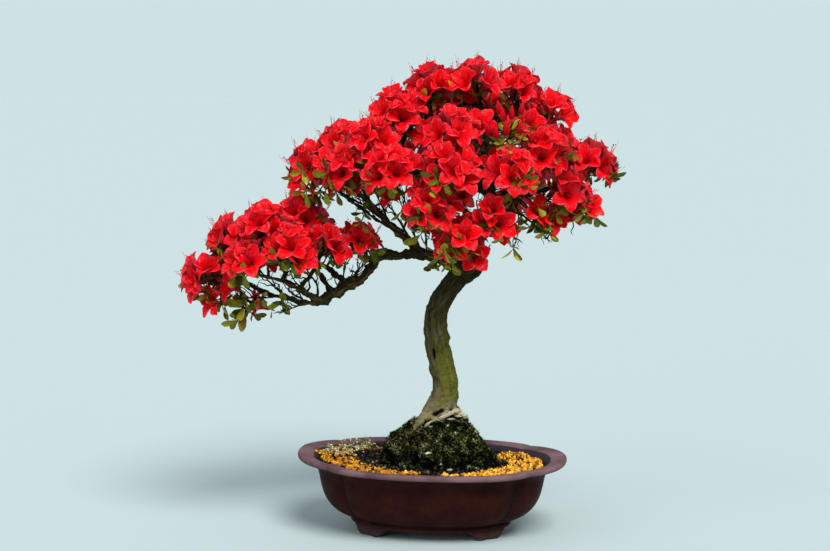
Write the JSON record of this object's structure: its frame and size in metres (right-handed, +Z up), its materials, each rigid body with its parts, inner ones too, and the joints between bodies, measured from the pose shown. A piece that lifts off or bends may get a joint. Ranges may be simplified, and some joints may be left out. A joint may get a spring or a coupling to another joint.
{
  "type": "azalea bonsai",
  "caption": "Informal upright azalea bonsai in full scarlet flower, with a low left branch, in a footed oval lobed clay pot with moss and orange pellets.",
  "frame": {"origin": "on the surface it stands on, under the middle of the whole bonsai's box", "axes": "+Z up, +X along the pot's long axis to the viewer's right, +Y away from the viewer"},
  "size_m": [0.5422, 0.3032, 0.5992],
  "materials": {
    "clay": "satin",
    "screen": "matte",
    "bark": "matte",
    "soil": "matte",
    "moss": "matte",
    "pellet": "matte",
    "petal": "satin",
    "leaf": "satin"
  },
  "bodies": {
    "root": {"pot": "clay", "drain_screen_left": "screen", "drain_screen_right": "screen", "wood": "bark", "soil": "soil", "moss_mound": "moss", "pellet_bed_left": "pellet", "pellet_bed_right": "pellet", "bloom_bunch_01": "petal", "bloom_bunch_02": "petal", "bloom_bunch_03": "petal", "bloom_bunch_04": "petal", "bloom_bunch_05": "petal", "bloom_bunch_06": "petal", "bloom_bunch_07": "petal", "bloom_bunch_08": "petal", "bloom_bunch_09": "petal", "bloom_bunch_10": "petal", "bloom_bunch_11": "petal", "bloom_bunch_12": "petal", "bloom_bunch_13": "petal", "bloom_bunch_14": "petal", "bloom_bunch_15": "petal", "bloom_bunch_16": "petal", "bloom_bunch_17": "petal", "bloom_bunch_18": "petal", "bloom_bunch_19": "petal", "bloom_bunch_20": "petal", "bloom_bunch_21": "petal", "bloom_bunch_22": "petal", "bloom_bunch_23": "petal", "bloom_bunch_24": "petal", "bloom_bunch_25": "petal", "bloom_bunch_26": "petal", "bloom_bunch_27": "petal", "bloom_bunch_28": "petal", "bloom_bunch_29": "petal", "bloom_bunch_30": "petal", "bloom_bunch_31": "petal", "bloom_bunch_32": "petal", "bloom_bunch_33": "petal", "bloom_bunch_34": "petal", "bloom_bunch_35": "petal", "bloom_bunch_36": "petal", "bloom_bunch_37": "petal", "bloom_bunch_38": "petal", "bloom_bunch_39": "petal", "bloom_bunch_40": "petal", "bloom_bunch_41": "petal", "bloom_bunch_42": "petal", "leafy_shoot_1": "leaf", "leafy_shoot_2": "leaf", "leafy_shoot_3": "leaf", "leafy_shoot_4": "leaf", "leafy_shoot_5": "leaf", "leafy_shoot_6": "leaf", "leafy_shoot_7": "leaf", "leafy_shoot_8": "leaf", "leafy_shoot_9": "leaf"}
  },
  "joints": []
}
